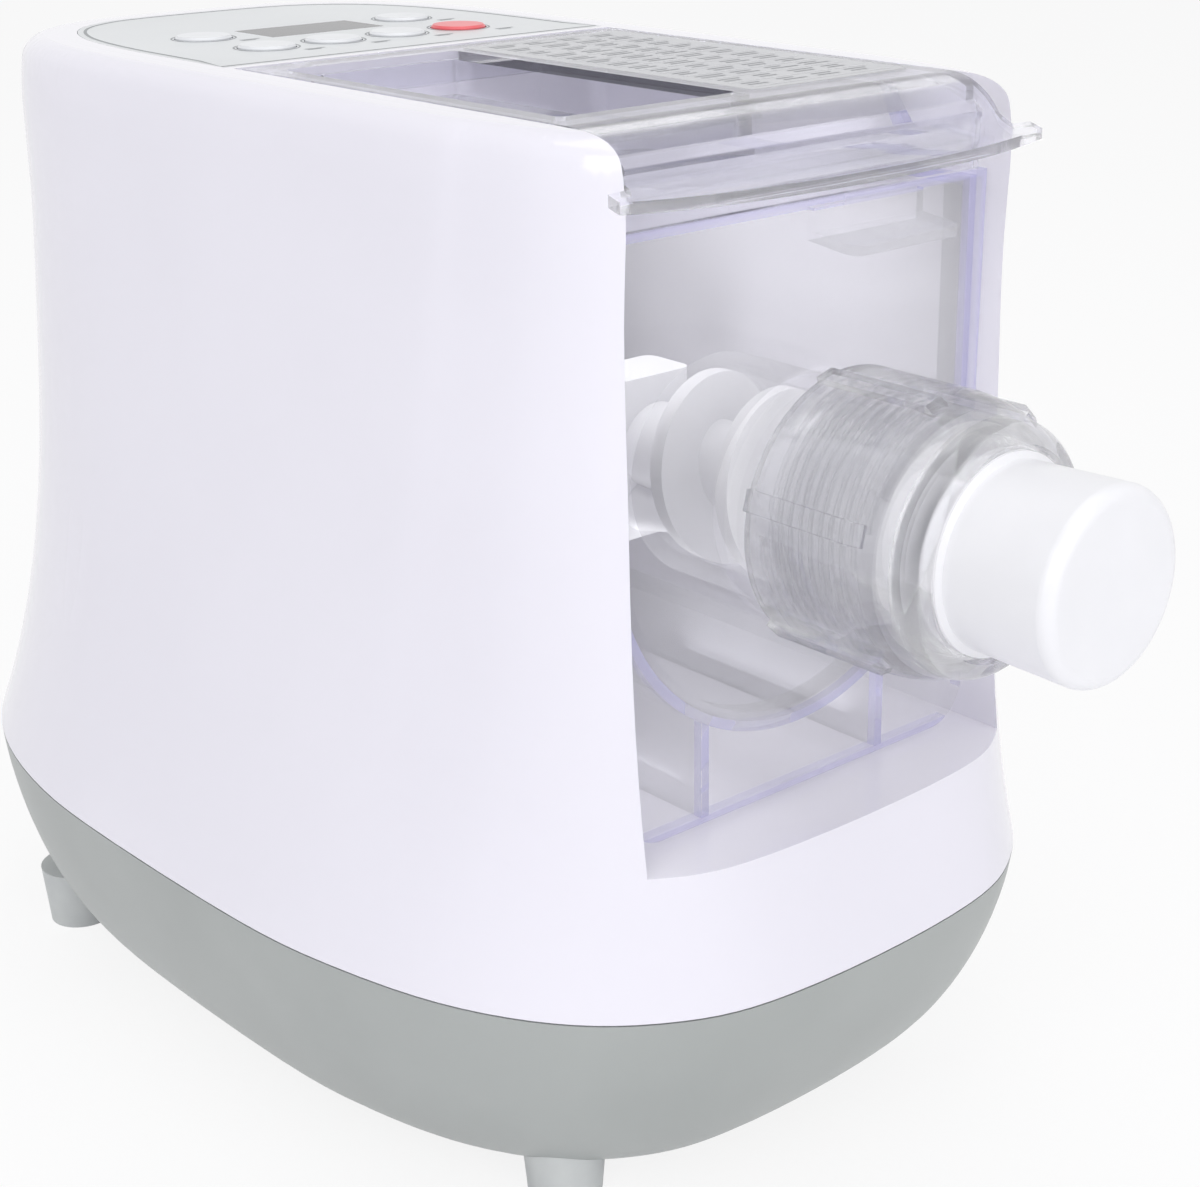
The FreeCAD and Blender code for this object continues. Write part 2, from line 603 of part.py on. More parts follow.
def nozzle_nut():
    bore = TUBE_R + NUT_FIT
    shoulder_y = NUT_REAR_Y - NUT_L * 0.56
    rim_y = NUT_FRONT_Y + 6.5
    web_y = DIE_FRONT_Y - FIT
    points = [V(bore, NUT_REAR_Y, AXIS_Z), V(NUT_R - 1, NUT_REAR_Y, AXIS_Z), V(NUT_R, NUT_REAR_Y - 1, AXIS_Z),
              V(NUT_R, shoulder_y, AXIS_Z)]
    edges = [Part.makeLine(points[i], points[i + 1]) for i in range(3)]
    rim = V(NUT_RIM_R, rim_y, AXIS_Z)
    mid = V(NUT_R - 0.9, shoulder_y - (shoulder_y - rim_y) * 0.55, AXIS_Z)
    edges.append(Part.Arc(points[3], mid, rim).toShape())
    nose = V(NUT_MOUTH_R + 1.2, NUT_FRONT_Y, AXIS_Z)
    bulge = V(NUT_RIM_R - 1.2, NUT_FRONT_Y + 2.2, AXIS_Z)
    edges.append(Part.Arc(rim, bulge, nose).toShape())
    inner = [nose, V(NUT_MOUTH_R, NUT_FRONT_Y + 0.6, AXIS_Z), V(NUT_MOUTH_R, web_y, AXIS_Z),
             V(bore, web_y, AXIS_Z), points[0]]
    edges += [Part.makeLine(inner[i], inner[i + 1]) for i in range(4)]
    body = Part.Face(Part.Wire(edges)).revolve(V(0, 0, AXIS_Z), V(0, 1, 0), 360)
    ribs = []
    for i in range(NUT_RIB_COUNT):
        rib = box(NUT_R - 1.5, NUT_R + NUT_RIB_H, shoulder_y - 8, NUT_REAR_Y - 1.5,
                  AXIS_Z - NUT_RIB_W / 2, AXIS_Z + NUT_RIB_W / 2)
        front = [e for e in rib.Edges if e.BoundBox.XMin > NUT_R and e.BoundBox.YMax < shoulder_y - 7.9]
        rib = rib.makeChamfer(NUT_RIB_H, front)
        rib.rotate(V(0, 0, AXIS_Z), V(0, 1, 0), NUT_RIB_ANGLE + 360.0 * i / NUT_RIB_COUNT)
        ribs.append(rib)
    return body.fuse(ribs).cut(rod_y(bore, web_y, NUT_REAR_Y + 1))


def die_disc():
    disc = rod_y(DIE_R, DIE_FRONT_Y, DIE_BACK_Y)
    holes = [rod_y(DIE_SLOT_R, DIE_FRONT_Y - 1, DIE_BACK_Y + 1)]
    for ring, count in ((6.0, 6), (12.0, 12)):
        for i in range(count):
            a = 2 * math.pi * i / count
            holes.append(rod_y(DIE_SLOT_R, DIE_FRONT_Y - 1, DIE_BACK_Y + 1, ring * math.cos(a),
                               AXIS_Z + ring * math.sin(a)))
    return disc.cut(holes)


def nozzle_cap():
    mouth = NUT_MOUTH_R - FIT
    z = AXIS_Z
    outer = [V(CAP_R - CAP_WALL, CAP_BACK_Y, z), V(mouth, CAP_BACK_Y, z), V(mouth, NUT_FRONT_Y + 0.4, z),
             V(CAP_R, NUT_FRONT_Y - 0.4, z), V(CAP_END_R, CAP_END_Y + CAP_EDGE, z)]
    edges = [Part.makeLine(outer[i], outer[i + 1]) for i in range(4)]
    end = V(CAP_END_R - CAP_EDGE, CAP_END_Y, z)
    bend = V(CAP_END_R - CAP_EDGE * 0.30, CAP_END_Y + CAP_EDGE * 0.30, z)
    edges.append(Part.Arc(outer[4], bend, end).toShape())
    inner = [end, V(0, CAP_END_Y, z), V(0, CAP_END_Y + CAP_WALL, z),
             V(CAP_R - CAP_WALL, CAP_END_Y + CAP_WALL, z), outer[0]]
    edges += [Part.makeLine(inner[i], inner[i + 1]) for i in range(4)]
    return Part.Face(Part.Wire(edges)).revolve(V(0, 0, z), V(0, 1, 0), 360)


def auger():
    back = BAY_BACK_Y - BOWL_BACK_GAP - BOWL_WALL - 0.5
    hub_end = back - HUB_L
    tip = TUBE_END_Y + 3.0
    body = turned_y([(0, back), (HUB_R, back), (HUB_R, hub_end + 8), (AUGER_CORE_R, hub_end),
                     (AUGER_CORE_R, tip + 4), (AUGER_CORE_R - 4, tip), (0, tip)])
    flight = auger_flight(FLIGHT_BACK_Y, tip + 6)
    arms = []
    for i in range(ARM_COUNT):
        y = back - ARM_FIRST - i * ARM_STEP
        straight = ARM_R - ARM_TIP_R
        arm = Part.makeCone(ARM_ROOT_R, ARM_TIP_R, straight, V(0, y, AXIS_Z), V(1, 0, 0))
        arm = arm.fuse(Part.makeSphere(ARM_TIP_R, V(straight, y, AXIS_Z)))
        arm.rotate(V(0, y, AXIS_Z), V(0, 1, 0), ARM_ANGLE + 180.0 * i)
        arms.append(arm)
    whole = body.fuse([flight, paddle()] + arms)
    socket = hex_bar(SOCKET_AF + 2 * FIT, back - SOCKET_L - 0.5, back + 1)
    return whole.cut(socket)


def paddle():
    """Flat block near the front of the hub, with a blunt finger that points forwards."""
    block = rounded_plate(-PADDLE_HALF, PADDLE_HALF, PADDLE_FRONT_Y, PADDLE_BACK_Y, AXIS_Z - PADDLE_DOWN,
                          AXIS_Z + PADDLE_UP, 3.0)
    z = AXIS_Z - FINGER_DROP
    finger = Part.makeCone(FINGER_ROOT_R, FINGER_TIP_R, FINGER_L, V(FINGER_X, PADDLE_FRONT_Y, z), V(0, -1, 0))
    return block.fuse([finger, Part.makeSphere(FINGER_TIP_R, V(FINGER_X, PADDLE_FRONT_Y - FINGER_L, z))])


def auger_flight(y_start, y_end):
    """Helical blade from y_start forward to y_end, swept along a helix."""
    height = y_start - y_end
    helix = Part.makeHelix(AUGER_PITCH, height, AUGER_CORE_R)
    inner = AUGER_CORE_R - 1.5
    half = AUGER_FLIGHT_T / 2
    root = half + 0.6
    section = Part.makePolygon([V(inner, 0, -root), V(AUGER_FLIGHT_R, 0, -half), V(AUGER_FLIGHT_R, 0, half),
                                V(inner, 0, root), V(inner, 0, -root)])
    blade = Part.Wire(helix.Edges).makePipeShell([section], True, True)
    blade.rotate(V(0, 0, 0), V(1, 0, 0), 90)
    blade.translate(V(0, y_start, AXIS_Z))
    return blade


def hex_bar(across, y0, y1, x=0.0, z=AXIS_Z):
    r = across / 2.0 / math.cos(math.pi / 6)
    points = [V(x + r * math.cos(math.pi * i / 3), y0, z + r * math.sin(math.pi * i / 3)) for i in range(7)]
    return Part.Face(Part.makePolygon(points)).extrude(V(0, y1 - y0, 0))


def arc3(a, b, c):
    return Part.Arc(a, b, c).toShape()


def lid_band(drop, x0):
    """Lid's curved plate in side view: flat top, dome down to the lip and a flick outward."""
    top = TOP_Z - drop
    y0 = 0.0
    flat = LID_FLAT_FRONT_Y
    lip = LID_LIP_Z - drop
    p = [V(x0, y0, top), V(x0, flat, top), V(x0, flat - 10.5, top - 2.5), V(x0, LID_LIP_Y + 15, lip + 4.0),
         V(x0, LID_LIP_Y + 8, lip + 1.1), V(x0, LID_LIP_Y - 1, lip)]
    return [Part.makeLine(p[0], p[1]), arc3(p[1], p[2], p[3]), arc3(p[3], p[4], p[5])], p


def lid():
    top_edges, tp = lid_band(0.0, -LID_FAR)
    low_edges, lp = lid_band(LID_T, -LID_FAR)
    wire = Part.Wire(Part.__sortEdges__(top_edges + [Part.makeLine(tp[-1], lp[-1])] + low_edges
                                        + [Part.makeLine(lp[0], tp[0])]))
    sheet = Part.Face(wire).extrude(V(2 * LID_FAR, 0, 0))
    corner = LID_LIP_Y + LID_LIP_BOW
    mouth = corner + LID_WING_D
    arc = arc3(V(-LID_LIP_HALF, corner, 0), V(0, LID_LIP_Y, 0), V(LID_LIP_HALF, corner, 0))
    right = [V(LID_LIP_HALF, corner, 0), V(LID_LIP_HALF, mouth, 0), V(LID_HALF, mouth + 0.4, 0),
             V(LID_HALF, 0, 0)]
    left = [V(-p.x, p.y, 0) for p in reversed(right)]
    sides = Part.makePolygon(right + left)
    plan = Part.Face(Part.Wire(Part.__sortEdges__([arc] + sides.Edges))).extrude(V(0, 0, 2 * TOP_Z))
    plate = sheet.common(plan)
    under = sheet_under()
    adds = []
    for sx in (-1, 1):
        x0, x1 = sorted((sx * LID_HALF, sx * (LID_HALF - LID_T)))
        adds.append(box(x0, x1, LID_FLAT_FRONT_Y - 8.0, 0, TOP_Z - LID_SKIRT, TOP_Z - 1).common(under))
        p0, p1 = sorted((sx * (LID_HALF - 1), sx * (LID_HALF + LID_PIN_L)))
        adds.append(rod_x(LID_PIN_R, p0, p1, LID_PIN_Y, LID_PIN_Z))
    adds.append(box(-LID_HALF, LID_HALF, -LID_T, 0, TOP_Z - LID_SKIRT, TOP_Z - 1))
    adds.append(box(-PLATE_HALF + 3, PLATE_HALF - 3, PLATE_FACE_Y + 0.4, BOWL_FRONT_Y - 0.2,
                    PLATE_TOP_Z + FIT, TOP_Z - 2).common(under))
    x0 = WELL_X - WELL_HALF_X
    x1 = WELL_X + WELL_HALF_X
    adds.append(box(x0 - WELL_WALL, x1 + WELL_WALL, WELL_FRONT_Y - WELL_WALL, WELL_BACK_Y + WELL_WALL,
                    TOP_Z - WELL_DEPTH - WELL_WALL, TOP_Z - 1))
    adds.append(magnet_ring())
    plate = plate.fuse(adds)
    tools = [rounded_plate(x0, x1, WELL_FRONT_Y, WELL_BACK_Y, TOP_Z - WELL_DEPTH, TOP_Z + 1, 2.0)]
    for y in WELL_HOLES_Y:
        tools.append(rod_z(WELL_HOLE_R, TOP_Z - 30, TOP_Z, WELL_X, y))
    tools.append(rounded_plate(LABEL_X - LABEL_HALF, LABEL_X + LABEL_HALF, WELL_FRONT_Y, WELL_BACK_Y + 4,
                               TOP_Z - LABEL_T, TOP_Z + 1, 2.0))
    tools.append(rod_z(MAGNET_R, TOP_Z - LID_SKIRT - 1, TOP_Z - LID_SKIRT + MAGNET_T, MAGNET_X, MAGNET_Y))
    return plate.cut(tools)


def sheet_under():
    """Everything below the lid's outer surface, to trim its ribs."""
    top_edges, tp = lid_band(0.5, -LID_FAR)
    corners = [tp[-1], V(-LID_FAR, LID_LIP_Y - 1, SEAM_Z), V(-LID_FAR, 0, SEAM_Z), tp[0]]
    edges = top_edges + [Part.makeLine(corners[i], corners[i + 1]) for i in range(3)]
    return Part.Face(Part.Wire(Part.__sortEdges__(edges))).extrude(V(2 * LID_FAR, 0, 0))


def magnet_ring():
    return rod_z(MAGNET_R + 1.6, TOP_Z - LID_SKIRT, TOP_Z - 1, MAGNET_X, MAGNET_Y)


def lid_magnet():
    return rod_z(MAGNET_R, TOP_Z - LID_SKIRT, TOP_Z - LID_SKIRT + MAGNET_T, MAGNET_X, MAGNET_Y)


def recipe_plate():
    return rounded_plate(LABEL_X - LABEL_HALF, LABEL_X + LABEL_HALF, WELL_FRONT_Y, WELL_BACK_Y + 4,
                         TOP_Z - LABEL_T, TOP_Z, 2.0)


def control_panel():
    slab = panel_slab(0.0, TOP_Z - PANEL_T, TOP_Z)
    tools = [rod_z(KEY_R + KEY_GAP, TOP_Z - 2, TOP_Z + 1, x, y) for x, y in key_places()]
    tools.append(box(-DISPLAY_W / 2, DISPLAY_W / 2, DISPLAY_Y - DISPLAY_D / 2,
                     DISPLAY_Y + DISPLAY_D / 2, TOP_Z - 2, TOP_Z + 1))
    return slab.cut(tools)


def key(x, y):
    top = TOP_Z + KEY_PROUD
    stem = rod_z(KEY_R, TOP_Z - KEY_H, top, x, y)
    edge = [e for e in stem.Edges if abs(e.BoundBox.ZMin - top) < 1e-6 and abs(e.BoundBox.ZMax - top) < 1e-6]
    stem = stem.makeChamfer(0.6, edge)
    flange_top = TOP_Z - SHELL_WALL - FIT
    return stem.fuse(rod_z(KEY_R + 1.4, TOP_Z - KEY_H - 1.2, flange_top, x, y))


def display_window():
    return box(-DISPLAY_W / 2 + 0.1, DISPLAY_W / 2 - 0.1, DISPLAY_Y - DISPLAY_D / 2 + 0.1,
               DISPLAY_Y + DISPLAY_D / 2 - 0.1, TOP_Z - PANEL_T, TOP_Z)


def display_module():
    return box(-DISPLAY_W / 2 + 0.5, DISPLAY_W / 2 - 0.5, DISPLAY_Y - DISPLAY_D / 2 + 0.5,
               DISPLAY_Y + DISPLAY_D / 2 - 0.5, BOARD_TOP_Z, TOP_Z - PANEL_T)


def board_posts():
    return [(sx * (BOARD_W / 2 - 4), y) for sx in (-1, 1) for y in (BOARD_Y0 + 4, BOARD_Y0 + BOARD_D - 4)]


def control_board():
    return rounded_plate(-BOARD_W / 2, BOARD_W / 2, BOARD_Y0, BOARD_Y0 + BOARD_D, BOARD_TOP_Z - BOARD_T,
                         BOARD_TOP_Z, 3.0)


def key_switches():
    high = TOP_Z - KEY_H - 1.2 - KEY_TRAVEL - FIT
    return Part.makeCompound([box(x - 3, x + 3, y - 3, y + 3, BOARD_TOP_Z, high) for x, y in key_places()])


def power_posts():
    return [(sx * (POWER_W / 2 - 5), y) for sx in (-1, 1) for y in (POWER_Y0 + 5, POWER_Y0 + POWER_D - 5)]


def power_board():
    """Board with a transformer, two capacitors and the heat sink of the motor's switch."""
    top = POWER_Z + BOARD_T
    seat = top - 0.2
    board = rounded_plate(-POWER_W / 2, POWER_W / 2, POWER_Y0, POWER_Y0 + POWER_D, POWER_Z, top, 3.0)
    parts = [box(-38, -12, POWER_Y0 + 12, POWER_Y0 + 36, seat, top + 20),
             rod_z(7.0, seat, top + 24, 8, POWER_Y0 + 22),
             rod_z(7.0, seat, top + 24, 26, POWER_Y0 + 22),
             box(-30, 30, POWER_Y0 + 44, POWER_Y0 + 50, seat, top + 12)]
    return board.fuse(parts)


def lid_switch():
    y = BAY_BACK_Y + BAY_WALL
    return box(MAGNET_X - 8, MAGNET_X + 8, y, y + 5, TOP_Z - LID_SKIRT - 6, TOP_Z - LID_SKIRT + 2)


def involute_gear(teeth, width, bore, y0, x, z, turn=0.0):
    """Spur gear along Y with involute flanks, rotated by turn (in teeth)."""
    rp = MODULE * teeth / 2.0
    rb = rp * math.cos(math.radians(20))
    ra = rp + MODULE * 0.92
    rf = rp - MODULE * 1.2
    half_pitch = math.pi / (2.0 * teeth) - BACKLASH / (2.0 * rp)
    inv_p = math.tan(math.radians(20)) - math.radians(20)
    flank = []
    start = max(rb, rf + 0.05)
    for i in range(4):
        r = start + (ra - start) * i / 3.0
        cosine = min(1.0, rb / r)
        phi = math.acos(cosine)
        flank.append((r, half_pitch + inv_p - (math.tan(phi) - phi)))
    points = []
    for k in range(teeth):
        centre = 2 * math.pi * (k + turn) / teeth
        root = (rf, flank[0][1])
        for r, a in [root] + flank:
            points.append((r, centre - a))
        for r, a in reversed([root] + flank):
            points.append((r, centre + a))
    loop = [V(x + r * math.cos(a), y0, z + r * math.sin(a)) for r, a in points]
    loop.append(loop[0])
    body = Part.Face(Part.makePolygon(loop)).extrude(V(0, width, 0))
    return body.cut(rod_y(bore, y0 - 1, y0 + width + 1, x, z))


def mesh_turn(teeth_here, teeth_other, turn_other, towards):
    """Turn, in teeth, that puts a gap here against a tooth of the other gear.
    towards is the angle from this gear's centre to the other's, counted from +X to +Z."""
    other = towards + math.pi
    phase_other = (other * teeth_other / (2 * math.pi) - turn_other) % 1.0
    here = towards * teeth_here / (2 * math.pi)
    return (here + phase_other + 0.5) % 1.0


def output_gear():
    gear = involute_gear(OUT_TEETH, GEAR_W, SHAFT_R, GEAR1_Y, 0, AXIS_Z)
    windows = []
    for i in range(5):
        a = 2 * math.pi * i / 5
        x = GEAR_WINDOW_RING * math.cos(a)
        z = AXIS_Z + GEAR_WINDOW_RING * math.sin(a)
        windows.append(rod_y(GEAR_WINDOW_R, GEAR1_Y - 1, GEAR1_Y + GEAR_W + 1, x, z))
    return gear.cut(windows)


def output_shaft():
    collar_back = GEARBOX_Y - 0.6
    body = rod_y(SHAFT_R, collar_back - 1, REAR_PLATE_Y + PLATE_STEEL_T + 2)
    collar_front = BAY_BACK_Y - BOWL_BACK_GAP - BOWL_WALL - 0.2
    body = body.fuse(rod_y(COLLAR_R, collar_front, collar_back))
    return body.fuse(hex_bar(SOCKET_AF, collar_front - SOCKET_L + 0.6, collar_front + 1))


def idler_gear():
    turn = mesh_turn(SMALL_TEETH, OUT_TEETH, 0.0, math.pi / 2)
    small = involute_gear(SMALL_TEETH, GEAR_W, IDLER_R, GEAR1_Y, 0, IDLER_Z, turn)
    big = involute_gear(BIG_TEETH, GEAR_W, IDLER_R, GEAR2_Y, 0, IDLER_Z)
    joiner = rod_y(MODULE * SMALL_TEETH / 2 - 2, GEAR1_Y + 1, GEAR2_Y + 1, 0, IDLER_Z)
    return small.fuse([big, joiner.cut(rod_y(IDLER_R, GEAR1_Y, GEAR2_Y + 2, 0, IDLER_Z))])


def idler_shaft():
    return rod_y(IDLER_R, GEARBOX_Y - 1, REAR_PLATE_Y + PLATE_STEEL_T, 0, IDLER_Z)


def rotor():
    turn = mesh_turn(PINION_TEETH, BIG_TEETH, 0.0, math.pi / 2)
    pinion = involute_gear(PINION_TEETH, GEAR_W, ROTOR_SHAFT_R - 0.5, GEAR2_Y, 0, MOTOR_Z, turn)
    shaft = rod_y(ROTOR_SHAFT_R, GEAR2_Y - 1, MOTOR_BACK_Y + 14, 0, MOTOR_Z)
    core = rod_y(STATOR_R * 0.52, STATOR_Y + 1, STATOR_Y + STATOR_L - 1, 0, MOTOR_Z)
    return pinion.fuse([shaft, core])


def cooling_fan():
    y0 = MOTOR_BACK_Y + 3
    hub = rod_y(8.0, y0, y0 + 8, 0, MOTOR_Z)
    blades = []
    for i in range(7):
        blade = box(6, STATOR_R * 0.8, y0 + 2.8, y0 + 4.4, MOTOR_Z - 5, MOTOR_Z + 5)
        blade.rotate(V(0, y0 + 3.6, MOTOR_Z), V(1, 0, 0), 30)
        blade.rotate(V(0, 0, MOTOR_Z), V(0, 1, 0), 360.0 * i / 7)
        blades.append(blade)
    return hub.fuse(blades).cut(rod_y(ROTOR_SHAFT_R, y0 - 1, y0 + 9, 0, MOTOR_Z))


def bearing_places():
    """Round seats in the two gear plates: x, z, shaft radius."""
    return [(0.0, AXIS_Z, SHAFT_R), (0.0, IDLER_Z, IDLER_R), (0.0, MOTOR_Z, ROTOR_SHAFT_R)]


def gear_plate(y0):
    """Pressed steel plate, upright across the machine, with bearing seats and bolt holes."""
    body = rounded_plate(-GEAR_PLATE_HALF, GEAR_PLATE_HALF, -GEAR_PLATE_HIGH, -GEAR_PLATE_LOW,
                         0, PLATE_STEEL_T, 8.0)
    body.rotate(V(0, 0, 0), V(1, 0, 0), -90)
    body.translate(V(0, y0, 0))
    holes = [rod_y(r + 4.0, y0 - 1, y0 + PLATE_STEEL_T + 1, x, z) for x, z, r in bearing_places()]
    holes += [rod_y(2.1, y0 - 1, y0 + PLATE_STEEL_T + 1, x, z) for x, z in gear_mounts()]
    return body.cut(holes)


def spacers():
    y0 = GEARBOX_Y + PLATE_STEEL_T
    tubes = []
    for x, z in gear_mounts():
        tubes.append(rod_y(SPACER_R, y0, REAR_PLATE_Y, x, z).cut(rod_y(2.1, y0 - 1, REAR_PLATE_Y + 1, x, z)))
    return Part.makeCompound(tubes)


def plate_screws():
    screws = []
    for x, z in gear_mounts():
        y = REAR_PLATE_Y + PLATE_STEEL_T
        screws.append(rod_y(2.0, GEARBOX_Y - SCREW_GRIP, y, x, z).fuse(rod_y(3.8, y, y + 2.6, x, z)))
    return Part.makeCompound(screws)


def bushings():
    rings = []
    for y0 in (GEARBOX_Y, REAR_PLATE_Y):
        for x, z, r in bearing_places():
            ring = rod_y(r + 4.0, y0, y0 + PLATE_STEEL_T, x, z)
            rings.append(ring.cut(rod_y(r + RUNNING, y0 - 1, y0 + PLATE_STEEL_T + 1, x, z)))
    return Part.makeCompound(rings)


def motor_cup(y_open, y_closed):
    """Drawn end cup: closed face with a bearing seat, open towards the stator."""
    lo, hi = sorted((y_open, y_closed))
    cup = rod_y(STATOR_R + 2, lo, hi, 0, MOTOR_Z)
    wall = 2.2
    if y_closed < y_open:
        hollow = rod_y(STATOR_R - 0.5, y_closed + wall, y_open + 1, 0, MOTOR_Z)
    else:
        hollow = rod_y(STATOR_R - 0.5, y_open - 1, y_closed - wall, 0, MOTOR_Z)
    return cup.cut([hollow, rod_y(ROTOR_SHAFT_R + RUNNING, lo - 1, hi + 1, 0, MOTOR_Z)])


def stator():
    return rod_y(STATOR_R + 2, STATOR_Y, STATOR_Y + STATOR_L, 0, MOTOR_Z).cut(
        rod_y(STATOR_R * 0.52 + 0.5, STATOR_Y - 1, STATOR_Y + STATOR_L + 1, 0, MOTOR_Z))


def windings():
    rings = []
    for y0, y1 in ((STATOR_Y - 7, STATOR_Y), (STATOR_Y + STATOR_L, STATOR_Y + STATOR_L + 7)):
        ring = rod_y(STATOR_R - 4, y0, y1, 0, MOTOR_Z)
        rings.append(ring.cut(rod_y(STATOR_R * 0.52 + 2, y0 - 1, y1 + 1, 0, MOTOR_Z)))
    return Part.makeCompound(rings)


nodes = {
    "main_housing": main_housing(),
    "base_tray": base_tray(),
    "rubber_feet": rubber_feet(),
    "base_screws": base_screws(),
    "cord_gland": cord_gland(),
    "control_panel": control_panel(),
    "display_window": display_window(),
    "display_module": display_module(),
    "control_board": control_board(),
    "key_switches": key_switches(),
    "power_board": power_board(),
    "lid_switch": lid_switch(),
    "gear_plate_front": gear_plate(GEARBOX_Y),
    "gear_plate_rear": gear_plate(REAR_PLATE_Y),
    "gear_plate_spacers": spacers(),
    "gear_plate_screws": plate_screws(),
    "shaft_bushings": bushings(),
    "idler_shaft": idler_shaft(),
    "motor_stator": stator(),
    "motor_windings": windings(),
    "motor_cup_front": motor_cup(STATOR_Y, MOTOR_FRONT_Y),
    "motor_cup_rear": motor_cup(STATOR_Y + STATOR_L, MOTOR_BACK_Y),
    "output_gear": output_gear(),
    "output_shaft": output_shaft(),
    "idler_gear": idler_gear(),
    "motor_rotor": rotor(),
    "cooling_fan": cooling_fan(),
    "mixing_bowl": mixing_bowl(),
    "kneading_auger": auger(),
    "front_plate": front_plate(),
    "die_disc": die_disc(),
    "nozzle_nut": nozzle_nut(),
    "nozzle_cap": nozzle_cap(),
    "lid": lid(),
    "lid_magnet": lid_magnet(),
    "recipe_plate": recipe_plate(),
}
key_names = ["key_row_1", "key_row_2", "key_row_3", "key_stop", "key_side_left", "key_side_right"]
for name, (x, y) in zip(key_names, key_places()):
    nodes[name] = key(x, y)

for name, shape in nodes.items():
    write(name, shape)
    print(name, len(shape.Solids), shape.isValid(), round(shape.Volume))
print("y_centre", Y_CENTRE)
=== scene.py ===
import math
import random

import bmesh
import bpy
from mathutils import Matrix, Vector
from mathutils.geometry import convex_hull_2d


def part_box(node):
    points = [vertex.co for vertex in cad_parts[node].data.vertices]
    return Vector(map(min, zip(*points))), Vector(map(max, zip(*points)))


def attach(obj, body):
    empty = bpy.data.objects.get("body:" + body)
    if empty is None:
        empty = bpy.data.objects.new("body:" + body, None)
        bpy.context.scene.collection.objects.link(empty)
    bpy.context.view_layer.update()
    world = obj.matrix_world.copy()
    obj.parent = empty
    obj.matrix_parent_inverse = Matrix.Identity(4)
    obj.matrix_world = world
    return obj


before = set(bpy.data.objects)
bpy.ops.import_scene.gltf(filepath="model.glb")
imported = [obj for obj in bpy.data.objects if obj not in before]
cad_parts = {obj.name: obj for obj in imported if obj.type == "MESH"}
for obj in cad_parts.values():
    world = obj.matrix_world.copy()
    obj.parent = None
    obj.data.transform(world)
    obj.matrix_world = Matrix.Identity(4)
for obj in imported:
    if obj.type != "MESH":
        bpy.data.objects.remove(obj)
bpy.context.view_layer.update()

# Main housing: one tall shell, injection moulded in white ABS against a polished tool. The gloss
# is even, the white leans a little to lilac, and long soft waves show where the wall has sunk
# over its ribs. It drops over the base tray and is screwed from below.


def node(tree, kind, settings=None, **links):
    """Adds one shader node; settings go on its properties and sockets, links join its sockets."""
    made = tree.nodes.new(kind)
    for key, value in (settings or {}).items():
        if key in made.inputs.keys():
            made.inputs[key].default_value = value
        else:
            setattr(made, key, value)
    for key, source in links.items():
        tree.links.new(source, made.inputs[key.replace("_", " ")])
    return made


def srgb(code):
    """Hex colour as seen on a screen, turned into the linear values that shaders use."""
    parts = [int(code[i:i + 2], 16) / 255.0 for i in (1, 3, 5)]
    linear = [c / 12.92 if c <= 0.04045 else ((c + 0.055) / 1.055) ** 2.4 for c in parts]
    return (*linear, 1.0)


def moulded(name, low, high, patch_mm, grain_mm, grain_deep_mm, **sockets):
    """Opaque material: two nearby colours in slow patches of patch_mm, and a surface grain of
    grain_mm that is grain_deep_mm high. Further sockets of the shader are set by name."""
    made = bpy.data.materials.new(name)
    made.use_nodes = True
    tree = made.node_tree
    tree.nodes.clear()
    place = node(tree, "ShaderNodeTexCoord").outputs["Object"]
    slow = node(tree, "ShaderNodeTexNoise", {"Scale": 1000.0 / patch_mm, "Detail": 2.0}, Vector=place)
    ramp = node(tree, "ShaderNodeValToRGB", Fac=slow.outputs[0])
    ramp.color_ramp.elements[0].position = 0.35
    ramp.color_ramp.elements[1].position = 0.65
    ramp.color_ramp.elements[0].color = srgb(low)
    ramp.color_ramp.elements[1].color = srgb(high)
    grain = node(tree, "ShaderNodeTexNoise", {"Scale": 1000.0 / grain_mm, "Detail": 3.0}, Vector=place)
    relief = node(tree, "ShaderNodeBump", {"Strength": 1.0, "Distance": grain_deep_mm / 1000.0},
                  Height=grain.outputs[0])
    shader = node(tree, "ShaderNodeBsdfPrincipled", {k.replace("_", " "): v for k, v in sockets.items()},
                  Base_Color=ramp.outputs[0], Normal=relief.outputs[0])
    node(tree, "ShaderNodeOutputMaterial", Surface=shader.outputs[0])
    return made


def dress(material, *names):
    """Puts a material on CAD nodes in place of the plain one."""
    for name in names:
        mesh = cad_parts[name].data
        mesh.materials.clear()
        mesh.materials.append(material)


# glossy ABS: sharp highlights under a thin bright skin
abs_white = moulded("abs_gloss_white", "#e6e4ee", "#e9e7f1", 110.0, 55.0, 0.035,
                    Roughness=0.14, IOR=1.53, Coat_Weight=0.3, Coat_Roughness=0.04)
dress(abs_white, "main_housing")

# Base tray: shallow dish in grey ABS with a fine spark-eroded grain, so its highlights are wide
# and soft. It closes the housing from below along the shadow line of the seam.
abs_grey = moulded("abs_satin_grey", "#a3a7a6", "#a9adac", 60.0, 0.7, 0.012, Roughness=0.40, IOR=1.53)
dress(abs_grey, "base_tray")

# Rubber feet: four soft pads in pale grey elastomer, pushed into sockets of the tray. They are
# dull and slightly dusty to the eye.
rubber = moulded("rubber_pale_grey", "#c3c6c7", "#cbcece", 14.0, 1.1, 0.03, Roughness=0.62, IOR=1.52)
dress(rubber, "rubber_feet")

# Base screws: zinc-plated pan heads at the bottom of four counterbores, with the cool mottled
# shine of plating.
zinc = moulded("steel_zinc_plated", "#b4b6ba", "#c6c8cb", 6.0, 1.2, 0.006, Roughness=0.34, Metallic=1.0)
dress(zinc, "base_screws")

